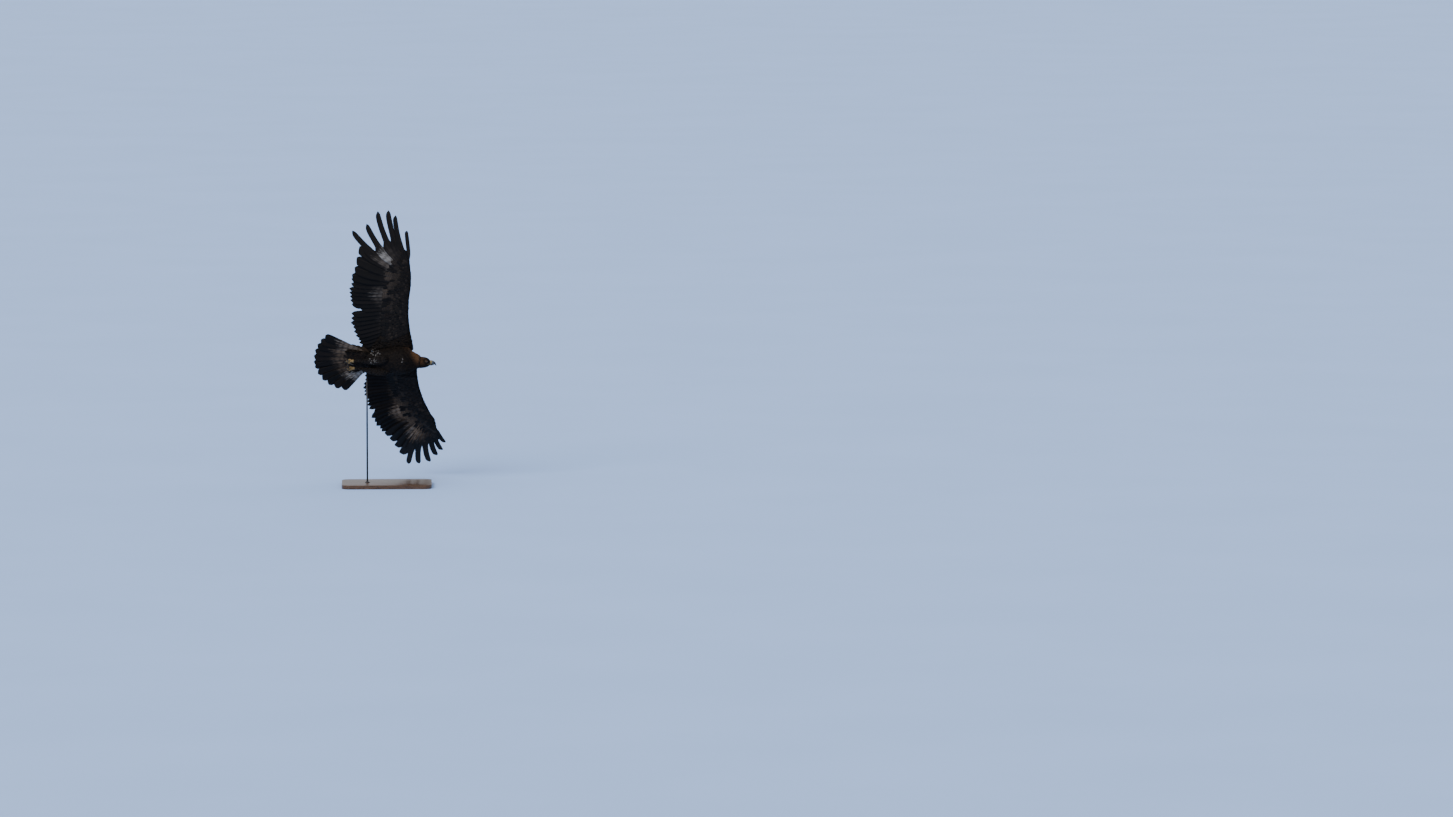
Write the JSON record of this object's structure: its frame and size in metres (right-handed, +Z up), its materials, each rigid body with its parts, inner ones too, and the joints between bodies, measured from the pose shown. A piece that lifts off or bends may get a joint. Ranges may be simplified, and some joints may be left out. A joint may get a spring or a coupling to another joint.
{
  "type": "golden eagle, life-size still model in banking flight on a display stand",
  "caption": "Life-size golden eagle banking in flight with spread wings and fanned tail, held by one slim rod on a flat base.",
  "frame": {"origin": "on the floor at the underside of the stand's base, straight below the middle of the bird's trunk", "axes": "+X towards the bill, +Z up, +Y away from the bird's belly side, so the left wing hangs towards +Y and the floor"},
  "size_m": [0.9285, 0.9361, 1.9789],
  "materials": {
    "plumage": "blackish-brown body feathers, matt",
    "nape": "rufous-golden pointed feathers of the head and neck",
    "flight": "dark wing and tail feathers with paler barred bases, slightly silky",
    "horn": "blackish horn, paler grey towards its base",
    "cere": "waxy pale yellow skin",
    "eye": "hazel iris with a black pupil under a clear glossy eye",
    "foot": "yellow scaled skin",
    "base_wood": "dark satin-varnished wood",
    "rod_steel": "slim rod, blackened satin"
  },
  "bodies": {
    "root": {"stand_base": "base_wood", "stand_rod": "rod_steel", "torso": "plumage", "neck": "nape", "head": "nape", "eye_right": "eye", "eye_left": "eye", "cere": "cere", "bill_upper": "horn", "bill_lower": "horn", "wing_right": "flight", "wing_left": "flight", "tail": "flight", "thigh_right": "plumage", "thigh_left": "plumage", "shank_right": "plumage", "shank_left": "plumage", "foot_right": "foot", "foot_left": "foot", "claw_inner_right": "horn", "claw_middle_right": "horn", "claw_outer_right": "horn", "claw_hind_right": "horn", "claw_inner_left": "horn", "claw_middle_left": "horn", "claw_outer_left": "horn", "claw_hind_left": "horn"}
  },
  "joints": []
}
